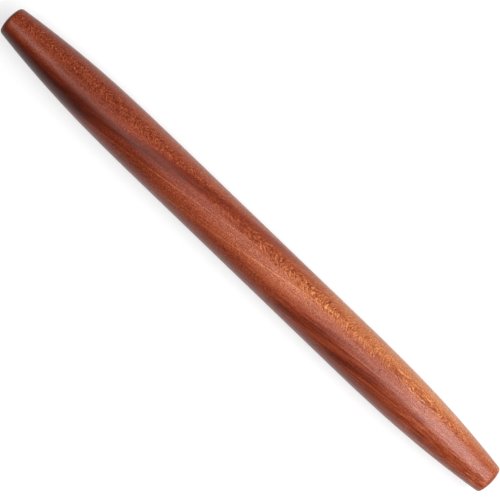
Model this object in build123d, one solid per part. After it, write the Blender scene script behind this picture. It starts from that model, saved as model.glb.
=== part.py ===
from build123d import *
import os

# A French rolling pin: one length of hardwood, turned all over on a lathe, with no
# axle, bearings or separate handles. Millimetres.
# The pin lies level on a board. Its axis runs along X, the board is the plane Z = 0,
# and the origin is on the board, midway along the pin, straight below its axis.

# Driving dimensions of the turned outline
overall_length = 400.0  # from tip to tip
barrel_diameter = 33.4  # the straight part that flattens the dough
barrel_length = 168.0  # the true cylinder between the two shoulders
shoulder_length = 36.0  # where each end first eases in, too little to feel
shoulder_drop = 0.47  # how far the outline has come in by the end of a shoulder
end_diameter = 19.4  # where a taper and its domed end would meet in a sharp rim
dome_height = 1.8  # from that rim out to the tip
edge_radius = 2.5  # the softened rim that the palm bears on

barrel_radius = barrel_diameter / 2
end_radius = end_diameter / 2


def end_outline(side):
    """One end's outline, from the barrel out to the tip, as arcs that follow each other
    without a corner until the rim. side is 1 for the +X end and -1 for the other."""
    barrel_end = (side * barrel_length / 2, barrel_radius)
    shoulder_end = (
        side * (barrel_length / 2 + shoulder_length),
        barrel_radius - shoulder_drop,
    )
    rim = (side * (overall_length / 2 - dome_height), end_radius)
    tip = (side * overall_length / 2, 0)
    shoulder = TangentArc(barrel_end, shoulder_end, tangent=(side, 0))
    taper = TangentArc(shoulder_end, rim, tangent=shoulder % 1)
    dome = TangentArc(tip, rim, tangent=(0, 1))
    return [shoulder, taper, dome]


def half_section():
    """The face between the axis and the outline, which sweeps out the whole pin."""
    barrel = Line((-barrel_length / 2, barrel_radius), (barrel_length / 2, barrel_radius))
    axis_line = Line((-overall_length / 2, 0), (overall_length / 2, 0))
    outline = Curve() + [barrel, axis_line, *end_outline(1), *end_outline(-1)]
    return make_face(Plane.XZ * outline)


def end_rims(pin):
    """The sharp rims round the two domed ends: the smallest circles on the pin."""
    circles = pin.edges().filter_by(GeomType.CIRCLE)
    return circles.sort_by(SortBy.RADIUS)[:2]


def turned_pin():
    """The whole pin, its rims rounded, laid on the board."""
    pin = revolve(half_section(), axis=Axis.X)
    pin = fillet(end_rims(pin), edge_radius)
    return Pos(0, 0, barrel_radius) * pin


os.makedirs("parts", exist_ok=True)
export_step(turned_pin(), "parts/rolling_pin.step")
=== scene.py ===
# %% [markdown]
# # A French rolling pin in oiled hardwood
#
# The pin is one length of reddish brown hardwood, turned on a lathe, sanded and rubbed with oil. It has no
# axle and no handles: the palms roll the wood itself. So its looks come from two things, a smooth outline,
# which this lesson models, and the figure of the wood, which it builds out of shader nodes.
#
# A plain solid of the pin, at its real size, is loaded first. The camera, the table and the finer mesh are
# all set out from its box. The pin's axis runs along X, the table is the plane Z = 0, and the origin is on
# the table below the middle of the pin.

# %% Load the frame
import math

import bpy
from mathutils import Matrix, Vector


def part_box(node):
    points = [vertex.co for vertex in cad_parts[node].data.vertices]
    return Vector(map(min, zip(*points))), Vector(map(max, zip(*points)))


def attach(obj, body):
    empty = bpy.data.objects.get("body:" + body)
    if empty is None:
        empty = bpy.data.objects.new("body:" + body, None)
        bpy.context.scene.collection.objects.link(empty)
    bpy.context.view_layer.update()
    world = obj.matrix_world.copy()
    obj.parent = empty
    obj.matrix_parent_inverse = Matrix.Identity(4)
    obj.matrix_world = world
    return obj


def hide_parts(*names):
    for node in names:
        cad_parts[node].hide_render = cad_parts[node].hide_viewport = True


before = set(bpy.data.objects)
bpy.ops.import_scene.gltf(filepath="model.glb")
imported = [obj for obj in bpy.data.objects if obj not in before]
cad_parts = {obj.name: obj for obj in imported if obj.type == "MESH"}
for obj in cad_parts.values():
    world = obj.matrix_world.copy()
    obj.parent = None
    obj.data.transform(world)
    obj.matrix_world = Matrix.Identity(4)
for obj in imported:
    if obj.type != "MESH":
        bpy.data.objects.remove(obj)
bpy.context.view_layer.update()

MILLIMETRE = 0.001

plain_low, plain_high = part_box("rolling_pin")
overall_length = plain_high.x - plain_low.x
barrel_radius = (plain_high.z - plain_low.z) / 2
axis_height = (plain_high.z + plain_low.z) / 2
print(f"The pin is {overall_length / MILLIMETRE:.1f} mm long")
print(f"It is {2 * barrel_radius / MILLIMETRE:.1f} mm thick")

# %% [markdown]
# ## The camera
#
# The picture is taken from straight above, with the pin running from the upper left corner to the lower
# right one. A long lens keeps the two ends the same size. Its distance follows from the width that it has
# to take in, and the camera is rolled about its own line of sight until the pin lies along the diagonal.
# Its position is set as a matrix made of three directions: right, up and backwards in the picture.

# %% Set up the camera
SENSOR_WIDTH = 36
LENS = 150
FRAME_WIDTH = 298.9 * MILLIMETRE
CAMERA_ROLL = math.radians(43.92)
CAMERA_SHIFT = -0.07 * MILLIMETRE


def add_camera():
    """A camera that looks straight down on the pin, which runs across its picture."""
    data = bpy.data.cameras.new("camera")
    data.sensor_width = SENSOR_WIDTH
    data.lens = LENS
    camera = bpy.data.objects.new("camera", data)
    bpy.context.scene.collection.objects.link(camera)
    right = Vector((math.cos(CAMERA_ROLL), math.sin(CAMERA_ROLL), 0))
    up = Vector((-math.sin(CAMERA_ROLL), math.cos(CAMERA_ROLL), 0))
    backwards = Vector((0, 0, 1))
    height = axis_height + FRAME_WIDTH * LENS / SENSOR_WIDTH
    turn = Matrix((right, up, backwards)).transposed().to_4x4()
    camera.matrix_world = Matrix.Translation((CAMERA_SHIFT, 0, height)) @ turn
    bpy.context.scene.camera = camera
    return height


camera_height = add_camera()
bpy.context.scene.view_settings.view_transform = "Standard"
print(f"The camera is {camera_height:.2f} m above the table")

# %% [markdown]
# ## The outline that the lathe follows
#
# A turner works to an outline: half of a lengthwise section through the pin. The barrel is straight. At its
# end a very slow curve, the shoulder, brings the outline in by half a millimetre, and a taper that curves a
# little more carries on to the end, where a low dome closes it. Each curve starts in the direction in which
# the last one ended, so that no ring shows on the wood.
#
# Such curves could be drawn as splines, but an arc that leaves a point in a known direction and passes
# through another is easy to work out, and it is what a turner's template has. The chord to any point of an
# arc makes half the angle through which the arc has turned by then, which is all that the function needs.

# %% Work out the outline
BARREL_LENGTH = 168 * MILLIMETRE
SHOULDER_LENGTH = 36 * MILLIMETRE
SHOULDER_DROP = 0.47 * MILLIMETRE
END_RADIUS = 9.7 * MILLIMETRE
DOME_HEIGHT = 1.8 * MILLIMETRE
RING_SPACING = 3.0 * MILLIMETRE
DOME_SPACING = 1.6 * MILLIMETRE


def turned(direction, angle):
    """A direction in the plane of the outline, turned by an angle."""
    return Matrix.Rotation(angle, 2) @ direction


def arc_points(start, direction, end, spacing):
    """Points on the arc that leaves start in a direction and ends at end, and the arc's last direction."""
    chord = end - start
    lead = math.atan2(direction.x * chord.y - direction.y * chord.x, direction.dot(chord))
    radius = chord.length / (2 * math.sin(lead))
    count = math.ceil(abs(2 * lead * radius) / spacing)
    points = []
    for step in range(1, count + 1):
        angle = lead * step / count
        points.append(start + turned(direction, angle) * (2 * radius * math.sin(angle)))
    return points, turned(direction, 2 * lead)


middle = Vector((0, barrel_radius))
barrel_end = Vector((BARREL_LENGTH / 2, barrel_radius))
shoulder_end = Vector((BARREL_LENGTH / 2 + SHOULDER_LENGTH, barrel_radius - SHOULDER_DROP))
rim = Vector((overall_length / 2 - DOME_HEIGHT, END_RADIUS))
tip = Vector((overall_length / 2, 0))

outwards = Vector((1, 0))
barrel_steps = round(BARREL_LENGTH / 2 / RING_SPACING)
barrel = [middle.lerp(barrel_end, step / barrel_steps) for step in range(barrel_steps + 1)]
shoulder, shoulder_slope = arc_points(barrel_end, outwards, shoulder_end, RING_SPACING)
taper, rim_slope = arc_points(shoulder_end, shoulder_slope, rim, RING_SPACING)
dome, dome_slope = arc_points(tip, Vector((0, 1)), rim, DOME_SPACING)
outline = [tip, *dome[:-1], *reversed(barrel + shoulder + taper)]
rim_turn = math.pi - dome_slope.angle(rim_slope)
print(f"The outline has {len(outline)} points")
print(f"It turns by {math.degrees(rim_turn):.0f} degrees at the rim")

# %% [markdown]
# ## Drawing the outline
#
# The outline is drawn as by hand. A plane is merged into a single point at the tip, and that point is
# extruded from each place to the next. Where the dome meets the taper, a bevel on that one point rounds the
# rim, as a strip of abrasive does on the lathe. The bevel starts and ends where a circle of the rim's radius
# would touch the two curves. The edges are then subdivided, for a closer mesh.

# %% Draw the outline
EDGE_RADIUS = 2.5 * MILLIMETRE
RIM_STEPS = 6
RING_CUTS = 2
START_SIZE = 2 * MILLIMETRE
TOUCHING = 0.005 * MILLIMETRE


def pick(piece):
    """Selects one piece, and nothing else."""
    bpy.ops.object.select_all(action="DESELECT")
    piece.select_set(True)
    bpy.context.view_layer.objects.active = piece


def edit(piece):
    """Enters edit mode on one piece."""
    pick(piece)
    bpy.ops.object.mode_set(mode="EDIT")


def leave_edit():
    """Goes back to object mode."""
    bpy.ops.object.mode_set(mode="OBJECT")


def to_space(point):
    """A point of the outline, as it stands above the pin's axis."""
    return Vector((point.x, 0, axis_height + point.y))


def select_points(piece, wanted):
    """Selects just the points of a piece for which wanted(place) is true."""
    for part in (*piece.data.polygons, *piece.data.edges):
        part.select = False
    for vertex in piece.data.vertices:
        vertex.select = wanted(vertex.co)


def draw_outline():
    """The half outline as a chain of edges, from the tip to the middle of the barrel."""
    bpy.ops.object.select_all(action="DESELECT")
    bpy.ops.mesh.primitive_plane_add(size=START_SIZE, location=to_space(tip))
    piece = bpy.context.object
    piece.name = "turned_wood"
    bpy.ops.object.transform_apply(location=True, rotation=True, scale=True)
    edit(piece)
    bpy.ops.mesh.merge(type="CENTER")
    for here, there in zip(outline, outline[1:]):
        step = to_space(there) - to_space(here)
        bpy.ops.mesh.extrude_vertices_move(TRANSFORM_OT_translate={"value": step})
    leave_edit()
    return piece


def round_rim(piece):
    """Rounds the corner between the dome and the taper."""
    corner = to_space(rim)
    select_points(piece, lambda place: (place - corner).length < TOUCHING)
    edit(piece)
    reach = EDGE_RADIUS * math.tan(rim_turn / 2)
    bpy.ops.mesh.bevel(offset=reach, segments=RIM_STEPS, affect="VERTICES", clamp_overlap=False)
    bpy.ops.mesh.select_all(action="SELECT")
    bpy.ops.mesh.subdivide(number_cuts=RING_CUTS)
    leave_edit()


pin = draw_outline()
round_rim(pin)
print(f"The drawn outline has {len(pin.data.vertices)} points")

# %% [markdown]
# ## Turning the pin
#
# Blender's Spin tool is a lathe: it sweeps an outline round an axis. A Mirror modifier makes the other half
# of the outline first, and Spin then sweeps the whole of it round.
#
# Spin leaves its first and last copies of the outline, and all the copies of the two tips, lying on each
# other. Merging them closes the seam and both poles. The normals are worked out afresh after that, because
# the sweep may have left the shell inside out.

# %% Turn the pin
AROUND = 144


def apply_modifier(piece, name, kind, **settings):
    """Puts a modifier on a piece and makes it part of the mesh."""
    modifier = piece.modifiers.new(name, kind)
    for label, value in settings.items():
        setattr(modifier, label, value)
    pick(piece)
    bpy.ops.object.modifier_apply(modifier=name)


def spin_outline(piece):
    """Sweeps the outline round the pin's axis, and closes the seam and the poles."""
    edit(piece)
    bpy.ops.mesh.select_all(action="SELECT")
    bpy.ops.mesh.spin(steps=AROUND, angle=2 * math.pi, center=(0, 0, axis_height), axis=(1, 0, 0))
    bpy.ops.mesh.select_all(action="SELECT")
    bpy.ops.mesh.remove_doubles(threshold=TOUCHING)
    bpy.ops.mesh.normals_make_consistent(inside=False)
    leave_edit()


apply_modifier(pin, "other half", "MIRROR", use_axis=(True, False, False), merge_threshold=TOUCHING)
spin_outline(pin)
print(f"The turned pin has {len(pin.data.vertices)} points and {len(pin.data.polygons)} faces")

# %% [markdown]
# ## The trace of the sanding
#
# No hand-sanded surface is perfectly true. Abrasive takes a little more from the soft layers than from the
# hard ones, and a little more wherever the hand dwells, so that a reflection that runs along the pin is
# never quite straight. Two Displace modifiers with soft cloud textures press the surface in by a few
# hundredths of a millimetre. A middle level of one means that they only ever press inwards, so the pin
# stays within its true size.

# %% Press in the traces of sanding
# Size of the clouds and greatest depth
SANDING = {
    "slow wander": (45 * MILLIMETRE, 0.10 * MILLIMETRE),
    "short ripple": (9 * MILLIMETRE, 0.03 * MILLIMETRE),
}


def sand(piece):
    """Presses the surface in unevenly, by the depth that each sanding trace has."""
    for name, (size, depth) in SANDING.items():
        texture = bpy.data.textures.new(name, "CLOUDS")
        texture.noise_scale = size
        apply_modifier(piece, name, "DISPLACE", texture=texture, strength=depth, mid_level=1)
    pick(piece)
    bpy.ops.object.shade_smooth()


def barrel_radii(piece):
    """How far each point of the barrel lies from the axis, in millimetres."""
    places = [vertex.co for vertex in piece.data.vertices if abs(vertex.co.x) < BARREL_LENGTH / 2]
    return [Vector((place.y, place.z - axis_height)).length / MILLIMETRE for place in places]


sand(pin)
radii = barrel_radii(pin)
print(f"The barrel's radius runs from {min(radii):.3f} to {max(radii):.3f} mm")

# %% [markdown]
# ## Helpers for sums in a shader tree
#
# A wood is easiest to describe with sums: a layer's place, plus a waver, compared with a limit. In a shader
# tree each sum is a node and each operand a link, so a few short functions let the sums be written down
# almost as they are thought. A source may be another node's output, which is linked, or a plain value,
# which is set. One kind of node works out sums of numbers, and another sums of places and directions.

# %% Write the helpers for sums
RANGE_SOCKETS = ("Value", "From Min", "From Max", "To Min", "To Max")


def add_node(tree, kind, **settings):
    """A new node of a kind, with its settings made."""
    node = tree.nodes.new("ShaderNode" + kind)
    for label, value in settings.items():
        setattr(node, label, value)
    return node


def feed(tree, socket, source):
    """Links a socket to a source, or sets it where the source is a plain value."""
    if isinstance(source, bpy.types.NodeSocket):
        tree.links.new(source, socket)
    else:
        socket.default_value = source


def add_sum(tree, kind, operation, sources):
    """A node that works out a sum from its sources."""
    node = add_node(tree, kind, operation=operation)
    for socket, source in zip(node.inputs, sources):
        feed(tree, socket, source)
    return node.outputs


def calculate(tree, operation, *sources):
    """A sum of one, two or three numbers."""
    return add_sum(tree, "Math", operation, sources)["Value"]


def times(tree, first, second, *added):
    """Two numbers multiplied, and a third one added where it is given."""
    operation = "MULTIPLY_ADD" if added else "MULTIPLY"
    return calculate(tree, operation, first, second, *added)


def calculate_place(tree, operation, *sources):
    """A sum of places or directions that gives another."""
    return add_sum(tree, "VectorMath", operation, sources)["Vector"]


def measure(tree, operation, *sources):
    """A number that places or directions give."""
    return add_sum(tree, "VectorMath", operation, sources)["Value"]


def total(tree, first, *others):
    """All of the numbers added up."""
    for other in others:
        first = calculate(tree, "ADD", first, other)
    return first


def between(tree, value, start, end, low=0.0, high=1.0):
    """A smooth step from low, where the value is at start, to high, where it is at end."""
    node = add_node(tree, "MapRange", interpolation_type="SMOOTHSTEP")
    for label, source in zip(RANGE_SOCKETS, (value, start, end, low, high)):
        feed(tree, node.inputs[label], source)
    return node.outputs["Result"]


print(f"A smooth step reads {len(RANGE_SOCKETS)} sockets")

# %% [markdown]
# ## Helpers for places and chance
#
# The patterns of wood come from noise, drawn out along the fibres. These helpers measure a place in grains
# of a given size, and ask the noise there. Blender's noise lies mostly between a quarter and three quarters,
# so it is spread out to run from about minus one to one. A seed moves the place, so that no two patterns
# are alike. Patterns that belong together are packed into node groups with named inputs and outputs.

# %% Write the helpers for places and groups
NOISE_SPREAD = 4.0


def combined(tree, *sources):
    """The place that three numbers make."""
    node = add_node(tree, "CombineXYZ")
    for socket, source in zip(node.inputs, sources):
        feed(tree, socket, source)
    return node.outputs["Vector"]


def along_direction(tree, place, direction):
    """How far a place lies along a direction."""
    return measure(tree, "DOT_PRODUCT", place, direction)


def stretched(tree, place, size, seed=0.0):
    """The place in grains of a size, which is given along and across the pin in millimetres."""
    length, width = size
    grains = (1 / length, 1 / width, 1 / width)
    return calculate_place(tree, "MULTIPLY_ADD", place, grains, (seed, -seed, seed))


def noise(tree, place, detail):
    """Smooth chance, mostly from -1 to 1, with one grain to each unit of the place."""
    node = add_node(tree, "TexNoise", noise_dimensions="3D")
    feed(tree, node.inputs["Vector"], place)
    feed(tree, node.inputs["Scale"], 1.0)
    feed(tree, node.inputs["Detail"], detail)
    return times(tree, node.outputs["Fac"], NOISE_SPREAD, -NOISE_SPREAD / 2)


def waver(tree, place, size, seed, detail=2.0):
    """Smooth chance with grains of a size along and across the pin."""
    return noise(tree, stretched(tree, place, size, seed), detail)


def new_group(name, inputs, outputs):
    """An empty node group with its named sockets, and the group's two ends."""
    group = bpy.data.node_groups.new(name, "ShaderNodeTree")
    for label, (kind, value) in inputs.items():
        kind_name = "NodeSocket" + kind
        socket = group.interface.new_socket(label, in_out="INPUT", socket_type=kind_name)
        socket.default_value = value
    for label, kind in outputs.items():
        group.interface.new_socket(label, in_out="OUTPUT", socket_type="NodeSocket" + kind)
    given = group.nodes.new("NodeGroupInput").outputs
    result = group.nodes.new("NodeGroupOutput").inputs
    return group, given, result


def place_group(tree, group, sources):
    """Puts a group into a tree, feeds its named inputs and gives back its outputs."""
    node = add_node(tree, "Group", node_tree=group)
    for label, source in sources.items():
        feed(tree, node.inputs[label], source)
    return node.outputs


print(f"The noise is spread out {NOISE_SPREAD:.0f} times")

# %% [markdown]
# ## Where a point lies in the tree
#
# Turned wood shows its figure because the lathe cuts through layers that run on inside it. A picture wrapped
# round the pin could not do that: its grain would not meet at the ends. So every pattern here is a solid
# one. It asks where a point lies in the block that the pin was cut from, and the surface shows whatever is
# there.
#
# This group gives that place, in millimetres from the middle of the pin's axis. The fibres of this kind of
# tree wind round the trunk as they climb, so the group also gives a place that is turned about the axis by
# an angle that grows along the pin, and grows more slowly towards one end. Stripes laid out in that second
# place wind round the pin as they do on the real one.

# %% Build the group for places in the wood
NOWHERE = (0.0, 0.0, 0.0)
LENGTHWISE = (1.0, 0.0, 0.0)
TO_MILLIMETRES = (1 / MILLIMETRE, 1 / MILLIMETRE, 1 / MILLIMETRE)
TWIST = 0.43
TWIST_EASING = -0.000467
PLACE_INPUTS = {
    "Point": ("Vector", NOWHERE),
    "Axis Height": ("Float", 0.0),
    "Twist": ("Float", 0.0),
    "Easing": ("Float", 0.0),
}


def from_axis(tree, point, height):
    """A point in metres, as millimetres from the middle of the pin's axis."""
    centred = calculate_place(tree, "SUBTRACT", point, combined(tree, 0.0, 0.0, height))
    return calculate_place(tree, "MULTIPLY", centred, TO_MILLIMETRES)


def rolled(tree, place, degrees):
    """A place rolled about the pin's axis by some degrees."""
    node = add_node(tree, "VectorRotate", rotation_type="X_AXIS")
    feed(tree, node.inputs["Vector"], place)
    feed(tree, node.inputs["Angle"], calculate(tree, "RADIANS", degrees))
    return node.outputs["Vector"]


def wood_place_group():
    """The place in the straight block, in the winding grain, and along the pin."""
    outputs = {"Straight": "Vector", "Winding": "Vector", "Along": "Float"}
    tree, given, result = new_group("Place in the wood", PLACE_INPUTS, outputs)
    straight = from_axis(tree, given["Point"], given["Axis Height"])
    along = along_direction(tree, straight, LENGTHWISE)
    rate = times(tree, along, given["Easing"], given["Twist"])
    feed(tree, result["Straight"], straight)
    feed(tree, result["Winding"], rolled(tree, straight, times(tree, along, rate)))
    feed(tree, result["Along"], along)
    return tree


wood_place = wood_place_group()
print(f"{wood_place.name}: {len(wood_place.nodes)} nodes")

# %% [markdown]
# ## Stripes
# Two stripes are not wood: one is painted light on the upper edge towards the right end, and one is painted
# shade on the lower flank.
#
# Where the fibres wind one way in some years and the other way in the next, the layers between reflect and
# take up oil differently, and the wood shows broad stripes. Here each stripe is a slab of the winding block
# that comes out of the wood at a given angle round the pin, counted from the top. One table holds them all,
# so that a stripe can be moved without touching a node. They were laid out like those of a real pin: a brown
# patch near the left end that narrows into a dark ribbon, a pale side towards the right, and dark red
# streaks below it. Where a layer is cut right at its edge, it shows as a thin light line, and two such lines
# run the length of the barrel.
#
# Each stripe has soft, feathered edges, because a slow waver and a streaky one are added to the distance
# before it is compared with the stripe's half width. A slab would come out on both sides of the pin, so it
# fades out where the wood is deeper than the axis.

# %% Lay out the stripes
# Angle at the middle of the pin, its drift in degrees per millimetre, half width, softness, the four places
# along the pin where the stripe begins, is full, is full still and has gone, and its change of the tone
STRIPES = {
    "pale side": (37, 0.10, 14.6, 2.1, (-95, 80, 108, 275), 0.32),
    "brown patch": (27.5, 0.0, 7.1, 3.6, (-300, -170, -138, -95), -0.35),
    "dark ribbon": (50.5, 0.12, 2.8, 1.4, (-130, -100, -10, 55), -0.19),
    "ribbon foot": (31, 0.04, 3.2, 2.5, (-115, -75, 25, 62), -0.08),
    "left shade": (78, 0.0, 4.0, 3.0, (-165, -145, -125, -95), -0.08),
    "dull stretch": (2, 0.0, 7.5, 3.5, (-120, -100, -86, -60), -0.10),
    "left end": (95, 0.0, 9.0, 4.5, (-400, -300, -125, -95), -0.02),
    "salmon stretch": (-25, 0.0, 3.6, 2.5, (-5, 20, 30, 52), 0.11),
    "brown stretch": (-28, 0.0, 4.0, 2.5, (-40, -15, 20, 45), -0.045),
    "thin dark streak": (-66.5, 0.0, 1.5, 1.1, (92, 112, 148, 168), -0.07),
    "first red streak": (-77.5, 0.5, 2.6, 1.4, (20, 38, 58, 90), -0.16),
    "second red streak": (-111, 0.5, 2.6, 1.5, (62, 78, 100, 140), -0.13),
    "lower shade": (-95, 0.0, 3.8, 2.0, (75, 100, 160, 195), -0.11),
    # Painted shade that darkens the lower flank in the middle of the pin
    "painted shade on the lower flank": (-47, -0.155, 3.0, 2.2, (55, 80, 125, 150), -0.08),
    "dull golden stretch": (21, 0.0, 3.6, 2.2, (-35, -10, 48, 72), -0.055),
    # Painted light that lightens the upper edge towards the right end
    "painted light on the upper edge": (5, 0.0, 3.0, 2.0, (125, 160, 260, 300), 0.10),
    "back ribbon": (-150, 0.12, 2.6, 1.4, (-180, -140, 10, 60), -0.16),
    "back light": (160, -0.05, 4.5, 2.5, (-60, 0, 120, 190), 0.14),
    "back streak": (-120, 0.3, 2.2, 1.3, (-140, -100, -40, 20), -0.12),
}
LINES = {
    "upper line": (16.4, 0.06, 0.20, 0.16, (-140, -118, 8, 25), 1.0),
    "lower line": (-11.5, 0.20, 0.22, 0.18, (-75, -52, 60, 85), 1.0),
}
print(f"{len(STRIPES)} stripes and {len(LINES)} lines run along the pin")

# %% [markdown]
# ### The group for the stripes
#
# The table becomes a group with three outputs. Tone is the change that all the stripes make, Lines is one
# in the thin light lines, and Dark Side is what the brown patch, the ribbon and its foot take off the tone.
# The material uses the last of these to mute the fine figure, which hardly shows in such dark wood.

# %% Build the group for the stripes
SHOWS_WITHIN = (-3.0, 5.0)
SLOW_WAVER = (70.0, 12.0)
SLOW_REACH = 0.6
STREAKY_WAVER = (28.0, 1.4)
STREAKY_REACH = 0.7
LINE_STEADINESS = 0.5
DARK_SIDE = ("brown patch", "dark ribbon", "ribbon foot")


def band(tree, distance, half_width, softness):
    """One in a band on both sides of no distance, nothing outside it, and a soft edge between."""
    away = calculate(tree, "ABSOLUTE", distance)
    return between(tree, away, half_width - softness, half_width + softness, 1.0, 0.0)


def stretch_along(tree, along, places):
    """One along a stretch of the pin, and nothing before and after it."""
    begins, full, until, gone = places
    rising = between(tree, along, begins, full)
    return times(tree, rising, between(tree, along, gone, until))


def slab(tree, place, along, waver_by, stripe):
    """The change of tone that one stripe makes at a place in the winding grain."""
    angle, drift, half_width, softness, places, strength = stripe
    degrees = times(tree, along, drift, angle)
    parts = add_node(tree, "SeparateXYZ")
    feed(tree, parts.inputs["Vector"], rolled(tree, place, degrees))
    aside = calculate(tree, "ADD", parts.outputs["Y"], waver_by)
    shows = between(tree, parts.outputs["Z"], *SHOWS_WITHIN)
    mask = times(tree, band(tree, aside, half_width, softness), shows)
    mask = times(tree, mask, stretch_along(tree, along, places))
    return times(tree, mask, strength)


def stripe_group():
    """How much lighter or darker the stripes, two of them painted light and shade, and the fine lines make
    the wood.
    """
    inputs = {"Winding": ("Vector", NOWHERE), "Along": ("Float", 0.0)}
    outputs = {"Tone": "Float", "Lines": "Float", "Dark Side": "Float"}
    tree, given, result = new_group("Stripes", inputs, outputs)
    place, along = given["Winding"], given["Along"]
    slow = times(tree, waver(tree, place, SLOW_WAVER, seed=3.1), SLOW_REACH)
    streaky = waver(tree, place, STREAKY_WAVER, seed=8.4, detail=3.0)
    feathered = times(tree, streaky, STREAKY_REACH, slow)
    steady = times(tree, slow, LINE_STEADINESS)
    tones = {name: slab(tree, place, along, feathered, stripe) for name, stripe in STRIPES.items()}
    lines = [slab(tree, place, along, steady, line) for line in LINES.values()]
    feed(tree, result["Tone"], total(tree, *tones.values()))
    feed(tree, result["Lines"], total(tree, *lines))
    feed(tree, result["Dark Side"], total(tree, *[tones[name] for name in DARK_SIDE]))
    return tree


stripes = stripe_group()
print(f"{stripes.name}: {len(stripes.nodes)} nodes")

# %% [markdown]
# ## Growth layers
#
# Each year the tree lays a new layer round its pith, the soft middle of the trunk. The pin was cut a few
# centimetres away from the pith, so the layers in it are gently curved, and they bow outwards most along one
# line near the top of the pin, where the barrel's crest touches them. There the cut runs flat along a
# layer, and the eye sees the layer's own small hills and hollows as contour lines: nested arches, ovals and
# short squiggles. Where the cut crosses the layers steeply, the same lines crowd together until they can't
# be told apart.
#
# One rule gives both. The depth of a point is its distance from the pith, counted from the layer that just
# touches the barrel. Small undulations are added to it, and the sum drives a fine irregular pattern of light
# and dark. The layers also slope a little against the axis, which makes the arches point one way, and the
# slope eases towards the right end. On the taper the cut follows that slope, and the arches close into
# ovals.
#
# The inputs shape the figure. Spacing is the distance from one line to the next through the layers. Strong
# undulations break the lines up into squiggles. Run and Breadth say how far a line keeps its tone along and
# across the pin before it changes.

# %% Set out the growth layers
def spoke(degrees):
    """The direction from the axis at an angle from the top, towards the upper side of the picture."""
    angle = math.radians(degrees)
    return Vector((0, math.sin(angle), math.cos(angle)))


LAYER_ANGLE = 31
FLAT_DIRECTION = spoke(LAYER_ANGLE)
ACROSS_DIRECTION = spoke(LAYER_ANGLE + 90)
PITH_DISTANCE = 45.0
TOUCHING_LAYER = PITH_DISTANCE + barrel_radius / MILLIMETRE
LAYER_SLOPE = 0.12
SLOPE_EASING = 0.08
EASES_AT = 65.0
EASES_OVER = 40.0
HILL_SIZE = (2.2, 1.8)
SWELL_SIZE = (26.0, 30.0)
SWELL_HEIGHT = 0.15


def length_of(tree, *sides):
    """The root of the summed squares of some numbers."""
    squares = [times(tree, side, side) for side in sides]
    return calculate(tree, "SQRT", total(tree, *squares))


def layer_slope(tree, along):
    """How far the layers have risen at a place along the pin, on a slope that eases to the right."""
    beyond = calculate(tree, "SUBTRACT", along, EASES_AT)
    eased = calculate(tree, "SMOOTH_MAX", beyond, 0.0, EASES_OVER)
    steady = times(tree, along, LAYER_SLOPE)
    return times(tree, eased, -SLOPE_EASING, steady)


def undulating(tree, place, depth, undulation):
    """A depth through the layers, with the layers' small hills and slow swell added."""
    hills = waver(tree, place, HILL_SIZE, seed=5.7, detail=1.0)
    swell = waver(tree, place, SWELL_SIZE, seed=12.3, detail=0.0)
    raised = times(tree, hills, undulation, depth)
    return times(tree, swell, SWELL_HEIGHT, raised)


print(f"The layer that touches the barrel is {TOUCHING_LAYER:.1f} mm from the pith")

# %% [markdown]
# ### The group for the growth layers
#
# Besides the figure, the group says how flat the cut lies: the cosine of the angle between the layers' own
# direction and the spoke from the axis to the point, which is one where the two are in line. On the ends,
# which cut straight across, the layers show as rings round the pith.

# %% Build the group for the growth layers
FLAT_WITHIN = (math.cos(math.radians(20)), math.cos(math.radians(9)))
FIGURE_DETAIL = 0.5
RING_WIDTH = 1.7
RING_WAVER_SIZE = (40.0, 5.0)
RING_WAVER = 1.5
GROWTH_INPUTS = {
    "Straight": ("Vector", NOWHERE),
    "Spacing": ("Float", 0.2),
    "Undulation": ("Float", 0.1),
    "Run": ("Float", 8.0),
    "Breadth": ("Float", 2.0),
}


def year_rings(tree, place, from_pith):
    """Rings round the pith, from -1 to 1, one to each year and a little uneven."""
    turns = times(tree, from_pith, 2 * math.pi / RING_WIDTH)
    uneven = waver(tree, place, RING_WAVER_SIZE, seed=2.2)
    return calculate(tree, "SINE", times(tree, uneven, RING_WAVER, turns))


def growth_group():
    """Contour lines of the growth layers, how flat the cut lies along them, and the rings of an end."""
    outputs = {"Figure": "Float", "Flatness": "Float", "Rings": "Float"}
    tree, given, result = new_group("Growth layers", GROWTH_INPUTS, outputs)
    place = given["Straight"]
    flat = along_direction(tree, place, FLAT_DIRECTION)
    across = along_direction(tree, place, ACROSS_DIRECTION)
    along = along_direction(tree, place, LENGTHWISE)
    from_pith = length_of(tree, calculate(tree, "ADD", flat, PITH_DISTANCE), across)
    depth = total(tree, from_pith, -TOUCHING_LAYER, layer_slope(tree, along))
    raised = undulating(tree, place, depth, given["Undulation"])
    size = combined(tree, given["Spacing"], given["Run"], given["Breadth"])
    cell = calculate_place(tree, "DIVIDE", combined(tree, raised, along, across), size)
    feed(tree, result["Figure"], noise(tree, cell, FIGURE_DETAIL))
    cosine = calculate(tree, "DIVIDE", flat, length_of(tree, flat, across))
    feed(tree, result["Flatness"], between(tree, cosine, *FLAT_WITHIN))
    feed(tree, result["Rings"], year_rings(tree, place, from_pith))
    return tree


growth = growth_group()
print(f"{growth.name}: {len(growth.nodes)} nodes")

# %% [markdown]
# ## Fibres
#
# Closer to, the wood is a bundle of fibres. They show as soft streaks a few centimetres long, finer ones
# within those, and a speckle where single cells catch the light. Noise drawn out along the winding grain
# gives the streaks. The speckle is nearly round, and it needs no winding.

# %% Build the group for the fibres
BROAD_FIBRES = (80.0, 2.6)
FINE_FIBRES = (35.0, 0.8)
FINEST_FIBRES = (14.0, 0.52)
SPECKLE_SIZE = (0.62, 0.50)


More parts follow.
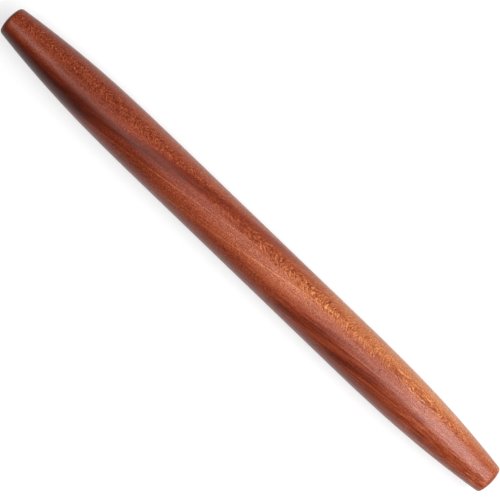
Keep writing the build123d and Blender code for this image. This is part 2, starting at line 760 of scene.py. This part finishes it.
def fibre_group():
    """Streaks of three widths and a speckle, each mostly from -1 to 1."""
    inputs = {"Winding": ("Vector", NOWHERE), "Straight": ("Vector", NOWHERE)}
    outputs = {"Broad": "Float", "Fine": "Float", "Speckle": "Float"}
    tree, given, result = new_group("Fibres", inputs, outputs)
    winding = given["Winding"]
    fine = waver(tree, winding, FINE_FIBRES, seed=6.2, detail=0.0)
    finest = waver(tree, winding, FINEST_FIBRES, seed=9.9, detail=1.0)
    speckle = waver(tree, given["Straight"], SPECKLE_SIZE, seed=4.4, detail=1.0)
    feed(tree, result["Broad"], waver(tree, winding, BROAD_FIBRES, seed=1.7))
    feed(tree, result["Fine"], calculate(tree, "ADD", finest, fine))
    feed(tree, result["Speckle"], speckle)
    return tree


fibres = fibre_group()
print(f"{fibres.name}: {len(fibres.nodes)} nodes")

# %% [markdown]
# ## Pores
#
# Among the fibres run the vessels, wide tubes that the lathe cuts open: dark dashes along the side of the
# pin, and round dots where it is cut across at its ends. Cells of a Voronoi pattern drawn out along the
# fibres give both from one solid pattern, because a point near the middle of a long cell lies in a vessel.

# %% Build the group for the pores
PORE_LENGTH = 5.0
PORE_SPACING = 0.75
PORE_BORE = 0.16
PORE_EDGE = 0.6
PORE_INPUTS = {
    "Winding": ("Vector", NOWHERE),
    "Length": ("Float", PORE_LENGTH),
    "Spacing": ("Float", PORE_SPACING),
    "Bore": ("Float", PORE_BORE),
}


def pore_group():
    """One where a vessel is cut open, and nothing between the vessels."""
    tree, given, result = new_group("Pores", PORE_INPUTS, {"Pores": "Float"})
    size = combined(tree, given["Length"], given["Spacing"], given["Spacing"])
    vessels = add_node(tree, "TexVoronoi", voronoi_dimensions="3D", feature="F1")
    cell = calculate_place(tree, "DIVIDE", given["Winding"], size)
    feed(tree, vessels.inputs["Vector"], cell)
    feed(tree, vessels.inputs["Scale"], 1.0)
    bore = calculate(tree, "DIVIDE", given["Bore"], given["Spacing"])
    edge = times(tree, bore, PORE_EDGE)
    feed(tree, result["Pores"], between(tree, vessels.outputs["Distance"], bore, edge))
    return tree


pores = pore_group()
print(f"{pores.name}: {len(pores.nodes)} nodes")

# %% [markdown]
# ## Flecks
#
# A piece of wood nearly always has a few dark flecks, no larger than a grain of sugar: a bud that never
# grew, or a drop of gum in a vessel. Each of them is a small ball in the block, drawn out a little along the
# fibres. Its place is given along the pin and by its angle from the top, and its middle lies just under the
# surface.

# %% Build the group for the flecks
# Place along the pin, angle from the top, half length and half width
FLECKS = {
    "in front": (104.2, 6.3, 0.95, 0.75),
    "beside it": (111.7, 9.1, 0.55, 0.45),
    "further on": (121.0, 23.6, 0.5, 0.4),
    "below": (-62.0, 200.0, 1.2, 0.5),
    "behind": (38.0, 118.0, 0.8, 0.5),
}
FLECK_FROM_AXIS = 16.5
FLECK_EDGE = 1.0
FLECK_CORE = 0.4


def fleck_group():
    """One inside a few small dark flecks, and nothing round them."""
    tree, given, result = new_group("Flecks", {"Straight": ("Vector", NOWHERE)}, {"Flecks": "Float"})
    marks = []
    for x, degrees, length, width in FLECKS.values():
        spot = Vector((x, 0, 0)) + spoke(degrees) * FLECK_FROM_AXIS
        away = calculate_place(tree, "SUBTRACT", given["Straight"], spot)
        size = measure(tree, "LENGTH", stretched(tree, away, (length, width)))
        marks.append(between(tree, size, FLECK_EDGE, FLECK_CORE))
    feed(tree, result["Flecks"], total(tree, *marks))
    return tree


flecks = fleck_group()
print(f"{flecks.name}: {len(FLECKS)} flecks in {len(flecks.nodes)} nodes")

# %% [markdown]
# ## Reading the wood at a point
#
# The material starts by asking every group about the point that is being shaded, and keeps the answers under
# plain names, so that the sums that follow can be read like sentences.
#
# The figure isn't the same all along the pin, because the cut meets the layers differently at each place. A
# short table of changes gives each input of the growth layers its value: every change starts and ends at a
# place, and runs from one amount to another. End grain is where the normal points along the pin.

# %% Put the groups into the material
# Where each change starts and ends along the pin, and the amounts that it runs from and to
FIGURE_CHANGES = {
    "Spacing": ((-60.0, 0.0, 0.13, 0.12), (40.0, 110.0, 0.0, -0.075)),
    "Undulation": ((-60.0, 10.0, 0.10, 0.055), (45.0, 90.0, 0.0, -0.025)),
    "Run": ((-60.0, 10.0, 5.0, 10.0),),
    "Breadth": ((30.0, 100.0, 1.7, 2.5),),
}
UPPER_SIDE = spoke(90)
END_TILT = (0.35, 0.85)


def changing(tree, along, changes):
    """A number that changes smoothly along the pin, as the sum of all its changes."""
    return total(tree, *[between(tree, along, *change) for change in changes])


def end_grain_mask(tree, normal):
    """One on the end faces, nothing on the side, and a soft step over the rim."""
    lengthwise = calculate(tree, "ABSOLUTE", along_direction(tree, normal, LENGTHWISE))
    return between(tree, lengthwise, *END_TILT)


def read_wood(tree):
    """Everything that the groups say about the point that is being shaded."""
    surface = add_node(tree, "TexCoord").outputs
    block = {"Point": surface["Object"], "Axis Height": axis_height}
    twist = {"Twist": TWIST, "Easing": TWIST_EASING}
    wood = place_group(tree, wood_place, {**block, **twist})
    straight, winding, along = wood["Straight"], wood["Winding"], wood["Along"]
    shape = {name: changing(tree, along, changes) for name, changes in FIGURE_CHANGES.items()}
    return {
        "straight": straight,
        "along": along,
        "upper": along_direction(tree, straight, UPPER_SIDE),
        "end grain": end_grain_mask(tree, surface["Normal"]),
        "stripes": place_group(tree, stripes, {"Winding": winding, "Along": along}),
        "layers": place_group(tree, growth, {"Straight": straight, **shape}),
        "fibres": place_group(tree, fibres, {"Winding": winding, "Straight": straight}),
        "pores": place_group(tree, pores, {"Winding": winding})["Pores"],
        "flecks": place_group(tree, flecks, {"Straight": straight})["Flecks"],
    }


oiled_hardwood = bpy.data.materials.new("oiled_hardwood")
oiled_hardwood.use_nodes = True
wood_tree = oiled_hardwood.node_tree
seen = read_wood(wood_tree)
print(f"The material reads {len(seen)} things about each point")

# %% [markdown]
# ## The fine grain
#
# The figure of the layers and the speckle make up the fine grain. The figure is clear where the cut is flat
# along the layers and all but gone elsewhere. It is clearest in the middle of the pin. End grain shows
# neither of them. On the lower side towards the right, the wood is cut so that its fibres show instead: the
# streaks are stronger there, and the speckle is weaker.

# %% Work out the fine grain
CLEAR_FIGURE = ((-60.0, 10.0, 0.22, 0.32), (145.0, 180.0, 0.0, -0.18))
FAINT_FIGURE = 0.02
STREAKY_PLACES = (0.0, 60.0)
STREAKY_SIDE = (2.0, -3.0)
STREAK_STRENGTHS = ((120.0, 150.0, 0.075, 0.11),)
PLAIN_STREAKS = 0.04
PLAIN_SPECKLE = 0.32
STREAKY_SPECKLE = -0.10


def streaky_side(tree, at):
    """One on the lower side of the pin towards its right end."""
    rightwards = between(tree, at["along"], *STREAKY_PLACES)
    return times(tree, rightwards, between(tree, at["upper"], *STREAKY_SIDE))


def fine_grain(tree, at, streaky):
    """The figure and the speckle of the side grain."""
    clear = changing(tree, at["along"], CLEAR_FIGURE)
    figure_strength = between(tree, at["layers"]["Flatness"], 0.0, 1.0, FAINT_FIGURE, clear)
    figured = times(tree, at["layers"]["Figure"], figure_strength)
    speckle_strength = times(tree, streaky, STREAKY_SPECKLE, PLAIN_SPECKLE)
    grain = times(tree, at["fibres"]["Speckle"], speckle_strength, figured)
    side_grain = calculate(tree, "SUBTRACT", 1.0, at["end grain"])
    return times(tree, grain, side_grain)


def fine_streaks(tree, at, streaky):
    """The fine streaks of the fibres."""
    added = changing(tree, at["along"], STREAK_STRENGTHS)
    strength = times(tree, streaky, added, PLAIN_STREAKS)
    return times(tree, at["fibres"]["Fine"], strength)


streaky = streaky_side(wood_tree, seen)
grained = fine_grain(wood_tree, seen, streaky)
streaked = fine_streaks(wood_tree, seen, streaky)
print(f"The material's tree has {len(wood_tree.nodes)} nodes so far")

# %% [markdown]
# ## The tone
#
# Everything is added up into a single number, the tone, from the darkest brown to the palest golden orange.
# Working with one number keeps the wood in its own range of colours however many patterns are added.
#
# The tone rises from the left part of the pin to the right one. Painted light makes the upper flank lighter
# along two stretches, and painted shade makes the lower flank a little darker. In the dark stripes the fine
# grain is muted. The end grain drinks more oil and goes darker, and shows the year rings. Painted shade
# makes the left end darker still than the right one.

# %% Work out the tone
BASE_TONE = ((70.0, 150.0, 0.413, 0.555),)
# Painted light that makes the upper flank lighter along two stretches of the pin
PAINTED_FLANK_LIGHT = {
    "left": ((-140, -100, -50, 10), 0.15),
    "right": ((30, 60, 190, 215), 0.12),
}
UPPER_FLANK = (9.0, 15.5)
# Painted shade that makes the lower flank a little darker
PAINTED_LOWER_FLANK_SHADE = (-5.0, -10.0, 0.0, -0.03)
MUTED_BY = (-0.20, 0.0, 0.4, 1.0)
LINE_TONE = 0.24
BROAD_TONE = 0.03
PORE_TONE = -0.12
FLECK_TONE = -0.38
# End grain is darker, and painted shade makes the left end darker than the right one
END_GRAIN_TONE_AND_LEFT_SHADE = ((-190.0, 190.0, -0.17, -0.06),)
RING_TONE = 0.05


def painted_flank_light_and_shade(tree, at):
    """Painted light on two stretches of the upper flank, and painted shade on the lower flank."""
    lights = []
    for places, strength in PAINTED_FLANK_LIGHT.values():
        stretch = stretch_along(tree, at["along"], places)
        lights.append(times(tree, stretch, strength))
    upper = between(tree, at["upper"], *UPPER_FLANK)
    lower = between(tree, at["upper"], *PAINTED_LOWER_FLANK_SHADE)
    return times(tree, total(tree, *lights), upper, lower)


def end_tone(tree, at):
    """The darker tone of the end grain and its rings, with painted shade that darkens the left end more."""
    darker = changing(tree, at["along"], END_GRAIN_TONE_AND_LEFT_SHADE)
    ringed = times(tree, at["layers"]["Rings"], RING_TONE, darker)
    return times(tree, ringed, at["end grain"])


def wood_tone(tree, at):
    """The tone of the wood with its painted light and shade, from 0 for the darkest to 1.25 for the palest.
    """
    muted = between(tree, at["stripes"]["Dark Side"], *MUTED_BY)
    return total(
        tree,
        changing(tree, at["along"], BASE_TONE),
        at["stripes"]["Tone"],
        painted_flank_light_and_shade(tree, at),
        end_tone(tree, at),
        times(tree, grained, muted),
        streaked,
        times(tree, at["stripes"]["Lines"], LINE_TONE),
        times(tree, at["fibres"]["Broad"], BROAD_TONE),
        times(tree, at["pores"], PORE_TONE),
        times(tree, at["flecks"], FLECK_TONE),
    )


tone = wood_tone(wood_tree, seen)
print(f"The tone runs from {BASE_TONE[0][2]} on the left to {BASE_TONE[0][3]} on the right")

# %% [markdown]
# ## From the tone to the colour
#
# A ramp turns the tone into a colour. A last step bends the hue in two ways. Green rises and falls with the
# fine grain, so its light specks are more golden and its dark ones redder than a stripe of the same tone.
# And in a strip of the upper side, from the middle of the pin to its right end, some blue is taken away,
# because the wood there is a warmer gold.

# %% Colour the wood
RAMP = {
    0.00: (0.048, 0.005, 0.002),
    0.25: (0.164, 0.021, 0.006),
    0.50: (0.289, 0.048, 0.016),
    0.75: (0.422, 0.112, 0.048),
    1.00: (0.632, 0.230, 0.096),
    1.25: (0.845, 0.400, 0.192),
}
RAMP_TOP = max(RAMP)
HALFWAY = 0.5
GRAIN_GREEN = 0.14
GOLDEN_DIRECTION = spoke(40)
GOLDEN_HEIGHT = (12.0, 15.5)
GOLDEN_PLACES = (-30.0, 40.0)
GOLDEN_BLUE = -0.15


def ramp_colour(tree, value):
    """The colour of the ramp at a tone."""
    ramp = add_node(tree, "ValToRGB")
    stops = ramp.color_ramp.elements
    while len(stops) < len(RAMP):
        stops.new(HALFWAY)
    for stop, (position, colour) in zip(stops, RAMP.items()):
        stop.position = position / RAMP_TOP
        stop.color = (*colour, 1.0)
    feed(tree, ramp.inputs["Fac"], calculate(tree, "DIVIDE", value, RAMP_TOP))
    return ramp.outputs["Color"]


def hue_shift(tree, at):
    """How much the red, green and blue are multiplied by, to bend the hue."""
    height = along_direction(tree, at["straight"], GOLDEN_DIRECTION)
    golden = between(tree, height, *GOLDEN_HEIGHT)
    golden = times(tree, golden, between(tree, at["along"], *GOLDEN_PLACES))
    green = times(tree, grained, GRAIN_GREEN, 1.0)
    blue = times(tree, golden, GOLDEN_BLUE, 1.0)
    return combined(tree, 1.0, green, blue)


def wood_colour(tree, at):
    """The colour of the tone, with its hue bent."""
    return calculate_place(tree, "MULTIPLY", ramp_colour(tree, tone), hue_shift(tree, at))


shader = wood_tree.nodes["Principled BSDF"]
feed(wood_tree, shader.inputs["Base Color"], wood_colour(wood_tree, seen))
print(f"The ramp has {len(RAMP)} stops, up to a tone of {RAMP_TOP}")

# %% [markdown]
# ## The oil
#
# Oil leaves wood satin, so the gloss is broad, and weaker than that of a varnish. Pores and end grain make
# it rougher, and the fibres, the figure and the pores dent the surface a little, which breaks up the
# highlight.

# %% Give the wood its gloss
GLOSS_ROUGHNESS = 0.30
PORE_ROUGHNESS = 0.20
END_ROUGHNESS = 0.15
OIL_IOR = 1.38
BUMP_DEPTH = 0.02 * MILLIMETRE
FIBRE_HEIGHT = 0.3
FIGURE_HEIGHT = 0.2
PORE_HEIGHT = -1.0


def gloss_roughness(tree, at):
    """The roughness of the oiled surface."""
    plain = times(tree, at["end grain"], END_ROUGHNESS, GLOSS_ROUGHNESS)
    return times(tree, at["pores"], PORE_ROUGHNESS, plain)


def dented_normal(tree, at):
    """The normal of a surface that the grain dents a little."""
    height = times(tree, at["fibres"]["Fine"], FIBRE_HEIGHT)
    height = times(tree, at["layers"]["Figure"], FIGURE_HEIGHT, height)
    height = times(tree, at["pores"], PORE_HEIGHT, height)
    bump = add_node(tree, "Bump")
    bump.inputs["Distance"].default_value = BUMP_DEPTH
    feed(tree, bump.inputs["Height"], height)
    return bump.outputs["Normal"]


feed(wood_tree, shader.inputs["Roughness"], gloss_roughness(wood_tree, seen))
feed(wood_tree, shader.inputs["Normal"], dented_normal(wood_tree, seen))
shader.inputs["IOR"].default_value = OIL_IOR
pin.data.materials.clear()
pin.data.materials.append(oiled_hardwood)
print(f"{pin.name} is finished in {pin.data.materials[0].name}, with {len(wood_tree.nodes)} nodes")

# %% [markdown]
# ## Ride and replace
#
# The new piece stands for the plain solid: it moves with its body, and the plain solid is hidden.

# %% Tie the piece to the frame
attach(pin, "root")
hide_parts("rolling_pin")
print(f"{pin.name} stands for the plain rolling_pin")

# %% [markdown]
# ## The table
#
# The pin lies on a plain white table. A white surface that is lit like the rest of the scene comes out pale
# grey, so the table also glows a little, but only for rays that come from the camera or off a gloss. The
# pin is lit by the lamps alone, and its soft shadow stays.

# %% Make the table
TABLE_SIZE = 12.0
TABLE_GREY = 0.42
TABLE_GLOW = 0.60


def glow_for_gloss(tree):
    """A glow that only the camera and reflections see."""
    ray = add_node(tree, "LightPath").outputs
    mirrored = calculate(tree, "MAXIMUM", ray["Is Glossy Ray"], ray["Is Transmission Ray"])
    watched = calculate(tree, "MAXIMUM", ray["Is Camera Ray"], mirrored)
    glow = add_node(tree, "Emission")
    feed(tree, glow.inputs["Strength"], times(tree, watched, TABLE_GLOW))
    return glow.outputs[0]


def table_paint():
    """A white paint with the glow added to it."""
    material = bpy.data.materials.new("white table")
    material.use_nodes = True
    tree = material.node_tree
    tree.nodes.clear()
    paint = add_node(tree, "BsdfDiffuse")
    paint.inputs["Color"].default_value = (TABLE_GREY, TABLE_GREY, TABLE_GREY, 1.0)
    both = add_node(tree, "AddShader")
    feed(tree, both.inputs[0], paint.outputs[0])
    feed(tree, both.inputs[1], glow_for_gloss(tree))
    feed(tree, add_node(tree, "OutputMaterial").inputs["Surface"], both.outputs[0])
    return material


bpy.ops.object.select_all(action="DESELECT")
bpy.ops.mesh.primitive_plane_add(size=TABLE_SIZE)
table = bpy.context.object
table.name = "table"
table.data.materials.append(table_paint())
print(f"The table is {table.dimensions.x:.0f} m wide")

# %% [markdown]
# ## The lamps
#
# A satin surface shows its lamps, so their shapes and places matter as much as their strength. All of them
# are soft boxes that face the pin, and the world adds a weak even light.
#
# The key is a broad box straight above the pin. With the strip beside it, it draws the long soft highlight
# along the pin. A taper turns its surface away from the middle, so it mirrors a lamp that stands further
# out. The right and the far right boxes, narrow and laid across the pin, are there for the right-hand taper,
# which is the brightest part of the picture, and the weak left ones are there for the other. The side box
# fills the upper flank, and the low box keeps the lower one from going black. Three small boxes, the middle
# strip, the right strip and the upper right, each lift one place. The last lights the right end: its rim is
# rounded, so it mirrors a lamp that stands low beyond the end.

# %% Place the lamps
WORLD_LEVEL = 0.10
# Position, the two sides of the box, watts, and the turn of its first side from the pin's axis in degrees
LAMPS = {
    "key": ((-0.02, -0.08, 1.00), (1.35, 0.85), 2.75, 4),
    "strip": ((0.22, 0.33, 1.00), (0.85, 0.36), 0.8, 0),
    "right": ((0.37, 0.30, 0.93), (0.15, 1.05), 4.0, 0),
    "far right": ((0.52, 0.18, 0.88), (0.14, 1.10), 4.9, 0),
    "left": ((-0.57, -0.20, 0.90), (0.14, 0.40), 0.75, 0),
    "left strip": ((-0.32, -0.22, 1.00), (0.60, 0.30), 0.8, 0),
    "side": ((0.05, 1.00, 0.60), (1.40, 0.90), 0.8, 0),
    "low": ((0.16, -0.90, 0.75), (0.50, 0.60), 0.15, 0),
    "middle strip": ((0.06, 0.26, 1.00), (0.30, 0.30), 0.6, 0),
    "right strip": ((0.52, -0.05, 0.88), (0.24, 0.22), 0.8, 0),
    "upper right": ((0.30, 0.75, 0.65), (0.30, 0.25), 0.25, 0),
    "end": ((0.90, 0.00, 0.35), (0.25, 0.25), 0.6, 0),
}


def facing_pin(position, degrees):
    """The matrix of a lamp that looks at the pin, its first side turned from the pin's axis."""
    backwards = (Vector(position) - Vector((0, 0, axis_height))).normalized()
    side = Vector((math.cos(math.radians(degrees)), math.sin(math.radians(degrees)), 0))
    side = (side - backwards * side.dot(backwards)).normalized()
    turn = Matrix((side, backwards.cross(side), backwards)).transposed().to_4x4()
    return Matrix.Translation(position) @ turn


def add_lamp(name, position, size, watts, degrees):
    """A soft box that faces the pin, unseen by the camera."""
    data = bpy.data.lights.new(name, "AREA")
    data.shape = "RECTANGLE"
    data.size, data.size_y = size
    data.energy = watts
    lamp = bpy.data.objects.new(name, data)
    bpy.context.scene.collection.objects.link(lamp)
    lamp.matrix_world = facing_pin(position, degrees)
    lamp.visible_camera = False


def add_world():
    """An even white light from all round."""
    world = bpy.data.worlds.new("studio")
    world.use_nodes = True
    background = world.node_tree.nodes["Background"].inputs
    background["Color"].default_value = (1.0, 1.0, 1.0, 1.0)
    background["Strength"].default_value = WORLD_LEVEL
    bpy.context.scene.world = world


for lamp_name, settings in LAMPS.items():
    add_lamp(lamp_name, *settings)
add_world()
print(f"{len(LAMPS)} lamps light the pin")
